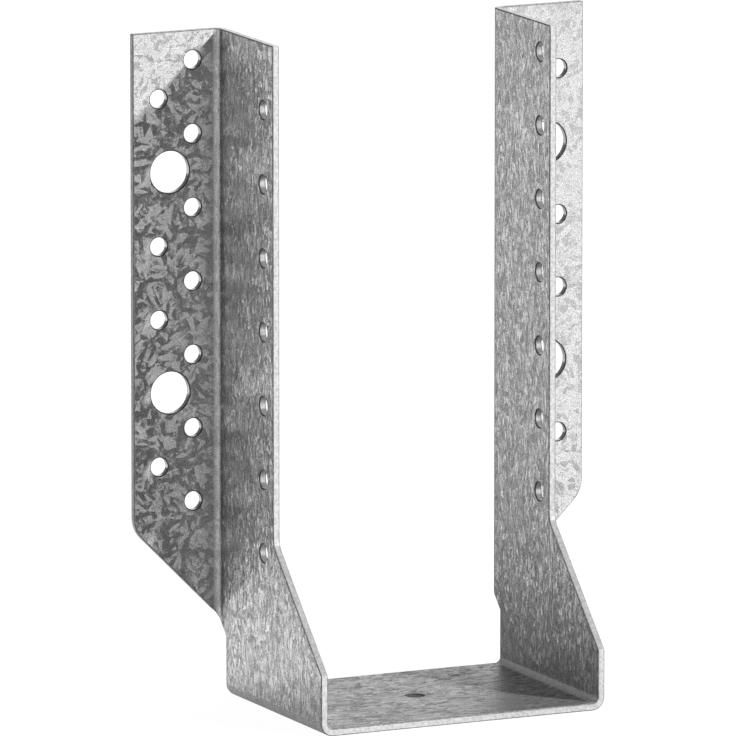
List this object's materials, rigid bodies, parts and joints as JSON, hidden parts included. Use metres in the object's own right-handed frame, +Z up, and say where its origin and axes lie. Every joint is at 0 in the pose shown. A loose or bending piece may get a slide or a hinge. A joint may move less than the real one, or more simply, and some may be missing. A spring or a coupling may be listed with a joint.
{
  "type": "joist hanger",
  "caption": "Folded galvanised sheet-steel joist hanger: a seat between tall cheeks carries the end of a timber joist, and punched flanges nail or bolt it to a header.",
  "frame": {"origin": "under the middle of the overall box, on the surface that the seat stands on", "axes": "+Z up along the cheeks, +Y from the open front towards the header, +X from the left cheek to the right"},
  "size_m": [0.134, 0.0664, 0.1814],
  "materials": {
    "galvanised_steel": "galvanised, with a zinc spangle"
  },
  "bodies": {
    "root": {"joist_hanger": "galvanised_steel"}
  },
  "joints": []
}
